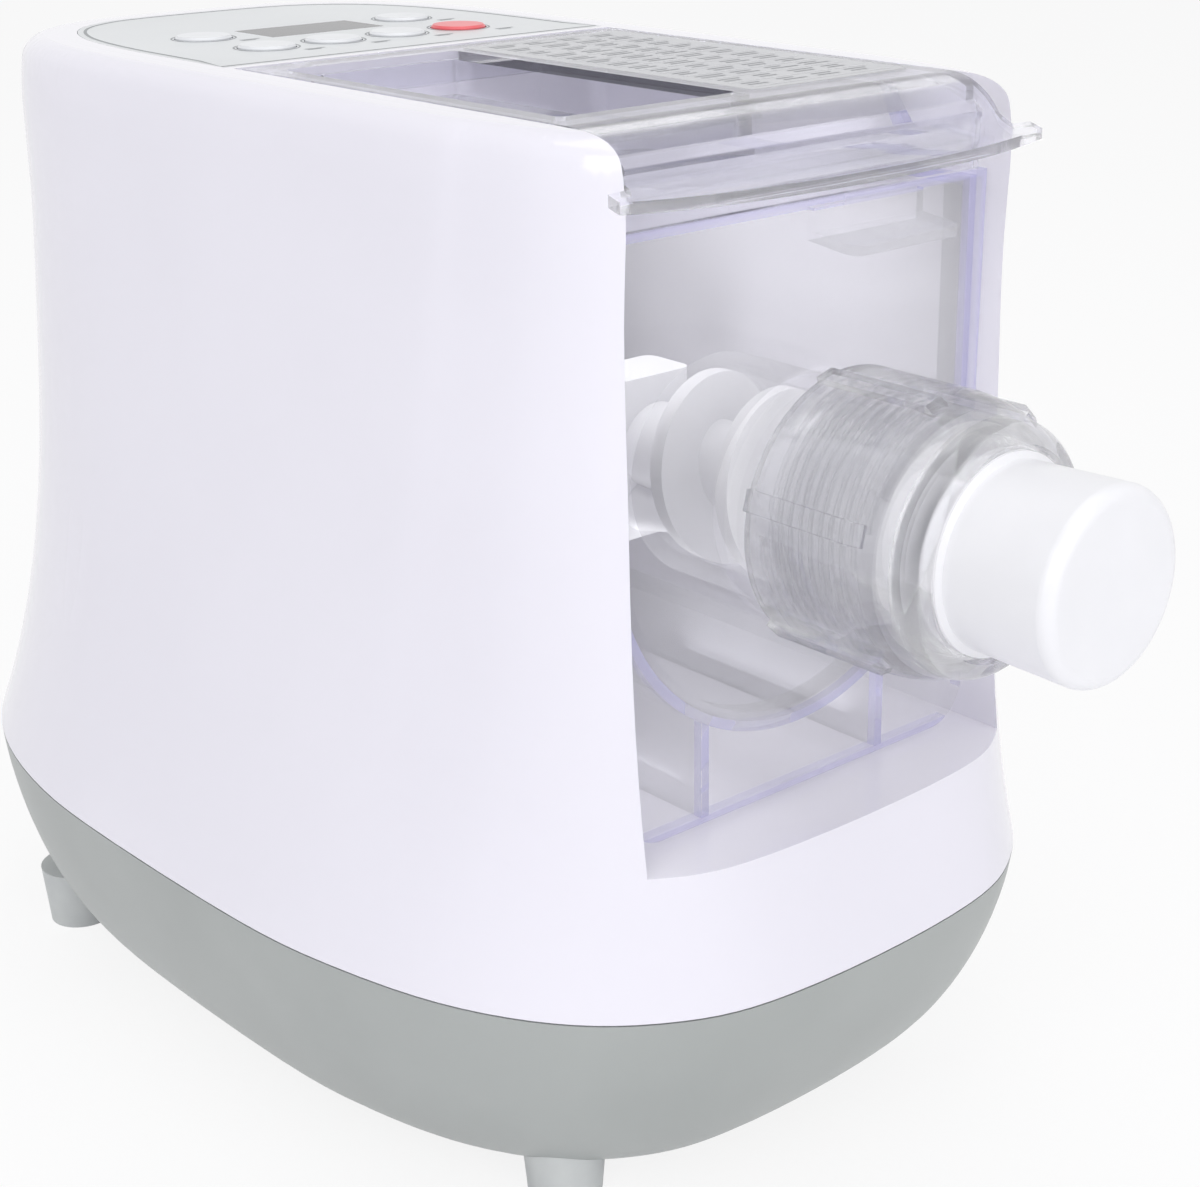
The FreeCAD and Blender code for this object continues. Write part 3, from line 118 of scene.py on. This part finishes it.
# Cord gland: black rubber sleeve at the back of the tray, matt from its mould.
rubber_black = moulded("rubber_black", "#202123", "#292a2c", 10.0, 0.9, 0.02, Roughness=0.7, IOR=1.52)
dress(rubber_black, "cord_gland")

# Control panel: polycarbonate film, printed from behind and glued into a recess of the top. The
# face is a smooth pale grey-green, and a thin darker line follows its edge.


def flat_piece(name, outlines, z, material, body):
    """Very thin printed or laid-on piece: flat faces at one height, each from its own outline."""
    mesh = bpy.data.meshes.new(name)
    form = bmesh.new()
    for outline in outlines:
        form.faces.new([form.verts.new((x, y, z)) for x, y in outline])
    bmesh.ops.recalc_face_normals(form, faces=form.faces)
    for face in form.faces:
        if face.normal.z < 0:
            face.normal_flip()
    form.to_mesh(mesh)
    form.free()
    piece = bpy.data.objects.new(name, mesh)
    bpy.context.scene.collection.objects.link(piece)
    mesh.materials.append(material)
    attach(piece, body)


def hull_of(name):
    """Convex outline of a CAD node's top face, as (x, y) points in order."""
    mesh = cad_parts[name].data
    high = max(v.co.z for v in mesh.vertices)
    points = [Vector((v.co.x, v.co.y)) for v in mesh.vertices if v.co.z > high - 1e-5]
    return [points[i] for i in convex_hull_2d(points)], high


def inset_outline(points, distance):
    """Outline moved inward along the mean normal of the two edges at each corner."""
    middle = sum(points, Vector((0, 0))) / len(points)
    moved = []
    for i, point in enumerate(points):
        along = (points[(i + 1) % len(points)] - points[i - 1]).normalized()
        normal = Vector((-along.y, along.x))
        if normal.dot(middle - point) < 0:
            normal.negate()
        moved.append(point + normal * distance)
    return moved


def line_round(points, start, width):
    """Closed printed line that follows an outline, as a run of four-sided faces."""
    outer = inset_outline(points, start)
    inner = inset_outline(points, start + width)
    count = len(points)
    return [(outer[i], outer[(i + 1) % count], inner[(i + 1) % count], inner[i]) for i in range(count)]


def bar(x, y, length, width):
    """Outline of a short bar that starts at x and is centred on y."""
    low, high = y - width / 2, y + width / 2
    return [(x, low), (x + length, low), (x + length, high), (x, high)]


PRINT_LIFT = 0.00004
film = moulded("polycarbonate_film_pale", "#d0d3d6", "#d5d8db", 70.0, 0.5, 0.004, Roughness=0.3, IOR=1.58)
dress(film, "control_panel")
ink_grey = moulded("ink_grey", "#84888c", "#8b8f93", 8.0, 0.4, 0.003, Roughness=0.4)
panel_line, panel_top = hull_of("control_panel")
BORDER_IN = 0.0016
BORDER_WIDTH = 0.0009
border = line_round(panel_line, BORDER_IN, BORDER_WIDTH)
flat_piece("panel_border_line", border, panel_top + PRINT_LIFT, ink_grey, "machine")

# Keys: six ABS buttons that stand just proud of the film, with a satin face. A thin printed ring
# goes round each, and a short plain mark stands for the legend beside it.
KEYS = ("key_row_1", "key_row_2", "key_row_3", "key_stop", "key_side_left", "key_side_right")
abs_key = moulded("abs_satin_white", "#dddfe3", "#e2e4e8", 12.0, 0.5, 0.004, Roughness=0.28, IOR=1.53)
abs_red = moulded("abs_satin_red", "#e25c64", "#e8666d", 12.0, 0.5, 0.004, Roughness=0.3, IOR=1.53)
dress(abs_key, *(name for name in KEYS if name != "key_stop"))
dress(abs_red, "key_stop")


def ring_faces(x, y, inner, outer, count=48):
    """Flat ring about a point, as four-sided faces."""
    faces = []
    for i in range(count):
        a = 2 * math.pi * i / count
        b = 2 * math.pi * (i + 1) / count
        faces.append([(x + r * math.cos(t), y + r * math.sin(t))
                      for r, t in ((inner, a), (outer, a), (outer, b), (inner, b))])
    return faces


RING_INNER = 0.0084
RING_OUTER = 0.0089
MARK_ACROSS = 0.0045
MARK_WIDTH = 0.0007
MARKS = ((0.0111, 0.0062), (0.0125, 0.0042))
rings = []
legends = []
for name in KEYS:
    low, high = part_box(name)
    x, y = (low[0] + high[0]) / 2, (low[1] + high[1]) / 2
    rings += ring_faces(x, y, RING_INNER, RING_OUTER)
    for below, length in MARKS:
        legends.append(bar(x + MARK_ACROSS, y - below, length, MARK_WIDTH))
flat_piece("key_rings_print", rings, panel_top + PRINT_LIFT, ink_grey, "machine")
flat_piece("key_legend_marks", legends, panel_top + PRINT_LIFT, ink_grey, "machine")

# Display: smoked acrylic window, flush with the film, with the black module close behind it.
acrylic = moulded("acrylic_smoked", "#34353a", "#3a3b40", 30.0, 3.0, 0.002, Roughness=0.12, IOR=1.2)
dress(acrylic, "display_window")
black_plastic = moulded("polyamide_black", "#222326", "#2b2c30", 8.0, 0.6, 0.01, Roughness=0.5, IOR=1.53)
dress(black_plastic, "display_module", "key_switches", "lid_switch", "cooling_fan")

# Circuit boards: glass-fibre board under green lacquer, whose weave shows as a faint relief.
lacquer = moulded("board_green_lacquer", "#1d5c3a", "#277048", 5.0, 0.6, 0.01, Roughness=0.35, IOR=1.55)
dress(lacquer, "control_board", "power_board")

# Gear frame: two pressed steel plates held apart by tubes and long screws, zinc plated as a set.
dress(zinc, "gear_plate_front", "gear_plate_rear", "gear_plate_spacers", "gear_plate_screws", "lid_magnet")

# Bushings: sintered bronze rings pressed into the plates, oily and faintly porous.
bronze = moulded("bronze_sintered", "#a9824a", "#b98f55", 3.0, 0.35, 0.01, Roughness=0.38, Metallic=1.0)
dress(bronze, "shaft_bushings")

# Shafts: ground steel bars, brighter and smoother than the plated sheet.
steel_ground = moulded("steel_ground", "#b9babd", "#c6c7ca", 5.0, 0.25, 0.002, Roughness=0.2, Metallic=1.0)
dress(steel_ground, "idler_shaft", "output_shaft", "motor_rotor")

# Motor: stack of punched laminations between two drawn steel cups. The stack's edge shows as fine
# lines across it, and the windings are lacquered copper wire laid side by side.


def striped(name, dark, light, step_mm, rough):
    """Fine parallel lines along Y with a real spacing, as sheet edges or wires lie."""
    made = bpy.data.materials.new(name)
    made.use_nodes = True
    tree = made.node_tree
    tree.nodes.clear()
    place = node(tree, "ShaderNodeTexCoord").outputs["Object"]
    lines = node(tree, "ShaderNodeTexWave", {"wave_type": "BANDS", "bands_direction": "Y",
                                            "Scale": 1000.0 / step_mm / 20.0 * math.pi, "Distortion": 0.4},
                 Vector=place)
    ramp = node(tree, "ShaderNodeValToRGB", Fac=lines.outputs["Fac"])
    ramp.color_ramp.elements[0].color = srgb(dark)
    ramp.color_ramp.elements[1].color = srgb(light)
    relief = node(tree, "ShaderNodeBump", {"Strength": 0.6, "Distance": step_mm / 4000.0},
                  Height=lines.outputs["Fac"])
    shader = node(tree, "ShaderNodeBsdfPrincipled", {"Roughness": rough, "Metallic": 1.0},
                  Base_Color=ramp.outputs[0], Normal=relief.outputs[0])
    node(tree, "ShaderNodeOutputMaterial", Surface=shader.outputs[0])
    return made


dress(striped("steel_laminations", "#55575b", "#83868a", 0.6, 0.45), "motor_stator")
dress(striped("copper_enamelled", "#7d3f1d", "#b8693a", 0.8, 0.3), "motor_windings")
dress(zinc, "motor_cup_front", "motor_cup_rear")

# Clear mouldings: bowl and front plate are water-clear polycarbonate about 2.5 mm thick. Face on
# they show little but highlights, and at a glancing angle they turn pale violet. Along their cut
# edges, the light piped through the wall is painted in as a stronger violet band at fixed places.
# A wall shows only in part, so a high index makes up for the shine that its alpha takes away.
WALL_IOR = 2.0
WAVES_PER_M = 30.0
WAVE_DEEP = 0.00008
LIGHT_STOPPED = 0.06


def lets_light_by(tree, seen=1.0):
    """seen for what the eye meets, and nearly 0 for light on its way, which clear plastic hardly
    stops."""
    ray = node(tree, "ShaderNodeLightPath")
    lit = node(tree, "ShaderNodeMath", {"operation": "MAXIMUM"})
    tree.links.new(ray.outputs["Is Shadow Ray"], lit.inputs[0])
    tree.links.new(ray.outputs["Is Diffuse Ray"], lit.inputs[1])
    rest = node(tree, "ShaderNodeMath", {"operation": "MULTIPLY_ADD"})
    tree.links.new(lit.outputs[0], rest.inputs[0])
    rest.inputs[1].default_value = LIGHT_STOPPED - seen
    rest.inputs[2].default_value = seen
    return rest.outputs[0]


def clear_wall(name, facing, grazing, tint, piped_light_tint, piped_light_test=None, piped_light_alpha=0.0):
    """Clear wall: opacity rises from facing to grazing with the angle of view. The edge test gives,
    from the tree and the place, a 0 to 1 mask of the edges where violet is painted for piped light."""
    made = bpy.data.materials.new(name)
    made.use_nodes = True
    tree = made.node_tree
    tree.nodes.clear()
    place = node(tree, "ShaderNodeTexCoord").outputs["Object"]
    angle = node(tree, "ShaderNodeLayerWeight", {"Blend": 0.30})
    reach = node(tree, "ShaderNodeMapRange", {"To Min": facing, "To Max": grazing},
                 Value=angle.outputs["Facing"])
    slow = node(tree, "ShaderNodeTexNoise", {"Scale": WAVES_PER_M, "Detail": 1.0}, Vector=place)
    relief = node(tree, "ShaderNodeBump", {"Strength": 1.0, "Distance": WAVE_DEEP}, Height=slow.outputs[0])
    shader = node(tree, "ShaderNodeBsdfPrincipled",
                  {"Roughness": 0.05, "IOR": WALL_IOR, "Base Color": srgb(tint)}, Normal=relief.outputs[0])
    alpha = reach.outputs[0]
    # Painted piped light: on the masked edges the colour turns violet and the wall grows more opaque.
    if piped_light_test:
        mask = piped_light_test(tree, place)
        tone = node(tree, "ShaderNodeMix", {"data_type": "RGBA"})
        tone.inputs[6].default_value = srgb(tint)
        tone.inputs[7].default_value = srgb(piped_light_tint)
        tree.links.new(mask, tone.inputs[0])
        tree.links.new(tone.outputs[2], shader.inputs["Base Color"])
        strong = node(tree, "ShaderNodeMath", {"operation": "MULTIPLY"})
        tree.links.new(mask, strong.inputs[0])
        strong.inputs[1].default_value = piped_light_alpha
        either = node(tree, "ShaderNodeMath", {"operation": "MAXIMUM"})
        tree.links.new(strong.outputs[0], either.inputs[0])
        tree.links.new(alpha, either.inputs[1])
        alpha = either.outputs[0]
    light = lets_light_by(tree)
    passed = node(tree, "ShaderNodeMath", {"operation": "MULTIPLY"})
    tree.links.new(alpha, passed.inputs[0])
    tree.links.new(light, passed.inputs[1])
    tree.links.new(passed.outputs[0], shader.inputs["Alpha"])
    node(tree, "ShaderNodeOutputMaterial", Surface=shader.outputs[0])
    return made


def compare(tree, source, limit, above):
    """1 where a value lies above (or below) a limit, else 0."""
    test = node(tree, "ShaderNodeMath", {"operation": "GREATER_THAN" if above else "LESS_THAN"})
    tree.links.new(source, test.inputs[0])
    test.inputs[1].default_value = limit
    return test.outputs[0]


def most(tree, sources):
    """Highest of several masks."""
    result = sources[0]
    for source in sources[1:]:
        higher = node(tree, "ShaderNodeMath", {"operation": "MAXIMUM"})
        tree.links.new(result, higher.inputs[0])
        tree.links.new(source, higher.inputs[1])
        result = higher.outputs[0]
    return result


# Mixing bowl: U-shaped trough that slides into the bay, with violet painted along its front rim and top
# edge for piped light.
EDGE = 0.0024
bowl_low, bowl_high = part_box("mixing_bowl")


# Mask of the bowl's front rim and top edge, where violet is painted for the light piped through the wall.
def bowl_piped_light_edges(tree, place):
    parts = node(tree, "ShaderNodeSeparateXYZ", Vector=place)
    return most(tree, [compare(tree, parts.outputs[1], bowl_low[1] + EDGE, False),
                       compare(tree, parts.outputs[2], bowl_high[2] - EDGE, True)])


bowl_clear = clear_wall("polycarbonate_bowl", 0.05, 0.30, "#eeedf8", "#b9b5ea", bowl_piped_light_edges, 0.45)
dress(bowl_clear, "mixing_bowl")

# Front plate: flat clear plate with the extrusion tube moulded through it, a thumb tab near the
# top and two gussets behind its lower corners. Its rims get the same painted violet of piped light as the
# bowl's.
plate_low, plate_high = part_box("front_plate")
RIM = 0.0017


# Mask of the plate's side, bottom and top rims, where violet is painted for the light piped through the
# wall.
def plate_piped_light_edges(tree, place):
    parts = node(tree, "ShaderNodeSeparateXYZ", Vector=place)
    across = node(tree, "ShaderNodeMath", {"operation": "ABSOLUTE"})
    tree.links.new(parts.outputs[0], across.inputs[0])
    return most(tree, [compare(tree, across.outputs[0], plate_high[0] - RIM, True),
                       compare(tree, parts.outputs[2], plate_low[2] + RIM, False),
                       compare(tree, parts.outputs[2], plate_high[2] - RIM, True)])


plate_clear = clear_wall("polycarbonate_plate", 0.07, 0.45, "#f3f2fa", "#c9c6ef", plate_piped_light_edges, 0.38)
dress(plate_clear, "front_plate")

# Tube thread: four-start thread rolled round the outside of the tube, on which the nut turns. Its
# crests catch the light as fine rings through the clear nut.
nut_low, nut_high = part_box("nozzle_nut")
AXIS = Vector(((nut_low[0] + nut_high[0]) / 2, 0.0, (nut_low[2] + nut_high[2]) / 2))
THREAD_ROOT = 0.0275
THREAD_CREST = 0.02812
THREAD_LEAD = 0.012
THREAD_STARTS = 4
THREAD_HALF = 0.00075
THREAD_STEPS = 60
THREAD_BACK_GAP = 0.003
THREAD_L = 0.0295
thread_from = nut_high[1] - THREAD_BACK_GAP
thread_to = thread_from - THREAD_L


def helix_ridge(form, phase):
    """One ridge of the thread, with a rounded section, tapered away at both ends."""
    turns = (thread_from - thread_to) / THREAD_LEAD
    count = int(turns * THREAD_STEPS)
    rows = []
    for i in range(count + 1):
        t = i / count
        a = phase + 2 * math.pi * turns * t
        y = thread_from + (thread_to - thread_from) * t
        rise = (THREAD_CREST - THREAD_ROOT) * min(1.0, 8 * t, 8 * (1 - t))
        row = []
        for offset, share in ((-1.0, 0.0), (-0.5, 0.8), (0.0, 1.0), (0.5, 0.8), (1.0, 0.0)):
            r = THREAD_ROOT + rise * share
            place = (AXIS.x + r * math.cos(a), y + offset * THREAD_HALF, AXIS.z + r * math.sin(a))
            row.append(form.verts.new(place))
        rows.append(row)
    for first, second in zip(rows, rows[1:]):
        for k in range(4):
            form.faces.new((first[k], first[k + 1], second[k + 1], second[k]))
        form.faces.new((first[4], first[0], second[0], second[4]))
    form.faces.new(rows[0])
    form.faces.new(list(reversed(rows[-1])))


thread_mesh = bpy.data.meshes.new("tube_thread")
form = bmesh.new()
for start in range(THREAD_STARTS):
    helix_ridge(form, 2 * math.pi * start / THREAD_STARTS)
bmesh.ops.recalc_face_normals(form, faces=form.faces)
form.to_mesh(thread_mesh)
form.free()
for face in thread_mesh.polygons:
    face.use_smooth = True
thread = bpy.data.objects.new("tube_thread", thread_mesh)
bpy.context.scene.collection.objects.link(thread)
thread_mesh.materials.append(clear_wall("polycarbonate_thread", 0.16, 0.75, "#f4f4fb", "#c9c6ef"))
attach(thread, "front")

# Nozzle nut: thick clear ring with six grip ribs. Its wall is thick enough to bend what is seen
# through it, so it is refracting plastic that still lets light through to what it covers.


def thick_clear(name, tint, bend, flow_per_m, seen):
    """Refracting clear plastic. bend is its refractive index, and seen is how strongly it shows."""
    made = bpy.data.materials.new(name)
    made.use_nodes = True
    tree = made.node_tree
    tree.nodes.clear()
    place = node(tree, "ShaderNodeTexCoord").outputs["Object"]
    flow = node(tree, "ShaderNodeTexNoise", {"Scale": flow_per_m, "Detail": 2.0}, Vector=place)
    relief = node(tree, "ShaderNodeBump", {"Strength": 1.0, "Distance": 0.0001}, Height=flow.outputs[0])
    shader = node(tree, "ShaderNodeBsdfPrincipled",
                  {"Base Color": srgb(tint), "Roughness": 0.03, "IOR": bend, "Transmission Weight": 1.0},
                  Normal=relief.outputs[0])
    tree.links.new(lets_light_by(tree, seen), shader.inputs["Alpha"])
    node(tree, "ShaderNodeOutputMaterial", Surface=shader.outputs[0])
    return made


dress(thick_clear("polycarbonate_nut", "#fafafd", 1.33, 90.0, 0.6), "nozzle_nut")

# Auger, die and gears: white acetal, milky and a little waxy, with soft wide highlights.
acetal = moulded("acetal_white", "#dedee2", "#e4e4e7", 30.0, 1.4, 0.01, Roughness=0.34, IOR=1.48)
dress(acetal, "kneading_auger", "die_disc", "output_gear", "idler_gear")

# Nozzle cap: milky polypropylene cup pushed into the nut's mouth, smooth with a soft sheen.
polypropylene = moulded("polypropylene_milky", "#ebebef", "#eeeef2", 25.0, 1.0, 0.006,
                        Roughness=0.3, IOR=1.49)
dress(polypropylene, "nozzle_cap")

# Lid: clear moulding hinged at its rear corners, with a sunk well, a flush recess for the recipe
# plate, a domed front and a lip that flares out over the front plate.
dress(thick_clear("polycarbonate_lid", "#f6f6fc", 1.30, 40.0, 0.8), "lid")

# Recipe plate: translucent grey film set flush into the lid. Its table is kept as plain rules and
# short blocks in two inks, in place of words.
film_grey = moulded("polyester_film_grey", "#aeafb5", "#b5b6bb", 30.0, 0.5, 0.003, Roughness=0.25, IOR=1.6)
dress(film_grey, "recipe_plate")
ink_dark = moulded("ink_dark_grey", "#6c6d73", "#74757b", 6.0, 0.4, 0.002, Roughness=0.4)
ink_white = moulded("ink_white", "#eeeef2", "#f3f3f6", 6.0, 0.4, 0.002, Roughness=0.4)
recipe_low, recipe_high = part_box("recipe_plate")
COLUMNS = 4
ROWS = 13
MARGIN = 0.0035
RULE_WIDTH = 0.0003
BLOCK_IN = 0.0012
BLOCK_WIDTH = 0.0006
cell_x = (recipe_high[0] - recipe_low[0] - 2 * MARGIN) / COLUMNS
cell_y = (recipe_high[1] - recipe_low[1] - 2 * MARGIN) / ROWS
chance = random.Random(7)
rules = []
blocks = []
for row in range(ROWS + 1):
    y = recipe_low[1] + MARGIN + row * cell_y
    rules.append(bar(recipe_low[0] + MARGIN, y, cell_x * COLUMNS, RULE_WIDTH))
    if row < ROWS:
        for column in range(COLUMNS):
            x = recipe_low[0] + MARGIN + column * cell_x
            for line in (0.36, 0.66):
                length = cell_x * chance.uniform(0.45, 0.8)
                blocks.append(bar(x + BLOCK_IN, y + cell_y * line, length, BLOCK_WIDTH))
flat_piece("recipe_rules", rules, recipe_high[2] + PRINT_LIFT, ink_white, "lid")
flat_piece("recipe_blocks", blocks, recipe_high[2] + PRINT_LIFT, ink_dark, "lid")

# Studio: pale floor that glows white to the camera but keeps a soft shadow, and a white surround.


def seen_directly(tree):
    """1 for camera, glossy and transmission rays, so that shiny pieces show the same white."""
    ray = node(tree, "ShaderNodeLightPath")
    return most(tree, [ray.outputs["Is Camera Ray"], ray.outputs["Is Transmission Ray"],
                       ray.outputs["Is Glossy Ray"]])


FLOOR_HALF = 6.0
FLOOR_GLOW = 0.85
floor_mesh = bpy.data.meshes.new("floor")
floor_mesh.from_pydata([(-FLOOR_HALF, -FLOOR_HALF, 0), (FLOOR_HALF, -FLOOR_HALF, 0),
                        (FLOOR_HALF, FLOOR_HALF, 0), (-FLOOR_HALF, FLOOR_HALF, 0)], [], [(0, 1, 2, 3)])
floor = bpy.data.objects.new("floor", floor_mesh)
bpy.context.scene.collection.objects.link(floor)
floor_paint = bpy.data.materials.new("studio_floor")
floor_paint.use_nodes = True
tree = floor_paint.node_tree
tree.nodes.clear()
plain = node(tree, "ShaderNodeBsdfDiffuse", {"Color": srgb("#f7f7f9")})
glow = node(tree, "ShaderNodeEmission", {"Color": (1, 1, 1, 1), "Strength": 1.0})
share = node(tree, "ShaderNodeMath", {"operation": "MULTIPLY"})
tree.links.new(seen_directly(tree), share.inputs[0])
share.inputs[1].default_value = FLOOR_GLOW
mix = node(tree, "ShaderNodeMixShader")
tree.links.new(share.outputs[0], mix.inputs[0])
tree.links.new(plain.outputs[0], mix.inputs[1])
tree.links.new(glow.outputs[0], mix.inputs[2])
node(tree, "ShaderNodeOutputMaterial", Surface=mix.outputs[0])
floor_mesh.materials.append(floor_paint)

world = bpy.data.worlds.new("studio")
bpy.context.scene.world = world
world.use_nodes = True
tree = world.node_tree
tree.nodes.clear()
soft = node(tree, "ShaderNodeBackground", {"Color": (1, 1, 1, 1), "Strength": 0.60})
white = node(tree, "ShaderNodeBackground", {"Color": (1, 1, 1, 1), "Strength": 1.0})
mix = node(tree, "ShaderNodeMixShader")
tree.links.new(seen_directly(tree), mix.inputs[0])
tree.links.new(soft.outputs[0], mix.inputs[1])
tree.links.new(white.outputs[0], mix.inputs[2])
node(tree, "ShaderNodeOutputWorld", Surface=mix.outputs[0])


AIM = Vector((0, 0, 0.13))


def square_lamp(name, place, size, power):
    """Square area lamp of size metres a side and power watts, facing down until it is turned."""
    light = bpy.data.lights.new(name, "AREA")
    light.shape = "SQUARE"
    light.size = size
    light.energy = power
    lit = bpy.data.objects.new(name, light)
    lit.location = place
    bpy.context.scene.collection.objects.link(lit)
    return lit


for name, place, size, power in (("softbox_left", (-1.3, -0.7, 1.0), 1.1, 7.5),
                                 ("softbox_front", (-0.1, -1.7, 0.75), 1.1, 7.0),
                                 ("softbox_above", (0.1, 0.0, 1.8), 1.4, 7.0)):
    softbox = square_lamp(name, place, size, power)
    softbox.rotation_euler = (AIM - Vector(place)).to_track_quat("-Z", "Y").to_euler()

# Bay lights: small soft lamps, unseen themselves, for the light that the clear walls pipe in. One
# hangs under the lid and faces down, and one stands near the bowl's floor and faces up.
UNDER_RIM = 0.004
BEHIND_FRONT = 0.040
OVER_FLOOR = 0.006
high_place = (0.0, (bowl_low[1] + bowl_high[1]) / 2, bowl_high[2] - UNDER_RIM)
low_place = (0.0, bowl_low[1] + BEHIND_FRONT, bowl_low[2] + OVER_FLOOR)
for name, place, size, power, turned in (("bay_light_high", high_place, 0.1, 0.050, 0.0),
                                         ("bay_light_low", low_place, 0.06, 0.060, math.pi)):
    bay_light = square_lamp(name, place, size, power)
    bay_light.rotation_euler = (turned, 0.0, 0.0)
    bay_light.visible_camera = False
    bay_light.visible_glossy = False
    bay_light.visible_transmission = False

# Camera: the photograph's viewing angle, found from the machine's own edges.
CAMERA_AT = Vector((-0.3548, -0.4491, 0.3389))
HEADING = math.radians(41.63)
DOWN = math.radians(20.79)
ROLL = math.radians(-0.5)
LENS_MM = 66.74
SENSOR_MM = 36.0
SHIFT_X = -0.0385
ahead = Vector((math.sin(HEADING) * math.cos(DOWN), math.cos(HEADING) * math.cos(DOWN), -math.sin(DOWN)))
level = Vector((math.cos(HEADING), -math.sin(HEADING), 0.0))
upward = level.cross(ahead)
side = level * math.cos(ROLL) + upward * math.sin(ROLL)
over = upward * math.cos(ROLL) - level * math.sin(ROLL)
camera_data = bpy.data.cameras.new("camera")
camera_data.sensor_width = SENSOR_MM
camera_data.lens = LENS_MM
camera_data.shift_x = SHIFT_X
camera_data.clip_start = 0.01
camera = bpy.data.objects.new("camera", camera_data)
camera.matrix_world = Matrix.Translation(CAMERA_AT) @ Matrix((side, over, -ahead)).transposed().to_4x4()
bpy.context.scene.collection.objects.link(camera)
bpy.context.scene.camera = camera
bpy.context.scene.view_settings.view_transform = "Standard"
